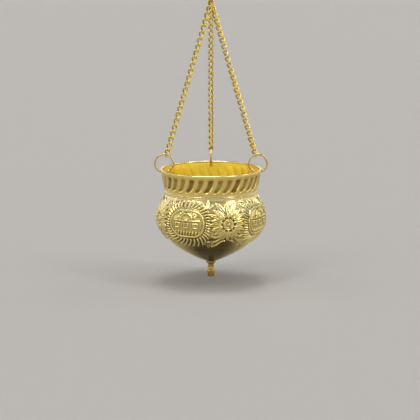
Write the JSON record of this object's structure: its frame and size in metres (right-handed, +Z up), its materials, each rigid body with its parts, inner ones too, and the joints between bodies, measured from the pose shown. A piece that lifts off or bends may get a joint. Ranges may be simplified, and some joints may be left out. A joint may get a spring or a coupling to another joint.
{
  "type": "hanging drip vessel",
  "caption": "Round-bellied brass vessel with a fluted neck and a drip spout underneath, hung by twisted chains from rings at its rim to one ring and hook.",
  "frame": {"origin": "where the upper bend of the hook bears on the peg that carries it", "axes": "+Z up along the line the vessel hangs on, +X to the right chain, +Y to the rear chain, so the picture looks along +Y"},
  "size_m": [0.1166, 0.1153, 0.3515],
  "materials": {
    "body_brass": "polished",
    "spout_brass": "polished",
    "chain_brass": "satin",
    "ring_brass": "polished",
    "hook_brass": "satin",
    "washer": "matte"
  },
  "bodies": {
    "hook": {"hook": "hook_brass"},
    "hanging_ring": {"hanging_ring": "ring_brass"},
    "vessel": {"bowl": "body_brass", "neck_collar": "body_brass", "joint_band": "body_brass", "spout": "spout_brass", "spout_seal": "washer", "spout_nut": "spout_brass", "left_chain_top_link": "chain_brass", "left_chain": "chain_brass", "left_chain_bottom_link": "chain_brass", "right_chain_top_link": "chain_brass", "right_chain": "chain_brass", "right_chain_bottom_link": "chain_brass", "rear_chain_top_link": "chain_brass", "rear_chain": "chain_brass", "rear_chain_bottom_link": "chain_brass"},
    "left_rim_ring": {"left_rim_ring": "ring_brass"},
    "right_rim_ring": {"right_rim_ring": "ring_brass"},
    "rear_rim_ring": {"rear_rim_ring": "ring_brass"}
  },
  "joints": [
    {"name": "ring_swing", "type": "hinge", "parent": "hook", "child": "hanging_ring", "pos_m": [0, 0, -0.0395], "axis": [1, 0, 0], "range_deg": [-25, 25]},
    {"name": "vessel_swing", "type": "hinge", "parent": "hanging_ring", "child": "vessel", "pos_m": [0, 0, -0.06625], "axis": [0, 1, 0], "range_deg": [-25, 25]},
    {"name": "left_rim_ring_turn", "type": "hinge", "parent": "vessel", "child": "left_rim_ring", "pos_m": [-0.04797, 0, -0.23073], "axis": [0, 1, 0], "continuous": true},
    {"name": "right_rim_ring_turn", "type": "hinge", "parent": "vessel", "child": "right_rim_ring", "pos_m": [0.04797, 0, -0.23073], "axis": [0, 1, 0], "continuous": true},
    {"name": "rear_rim_ring_turn", "type": "hinge", "parent": "vessel", "child": "rear_rim_ring", "pos_m": [0, 0.04797, -0.23073], "axis": [1, 0, 0], "continuous": true}
  ]
}
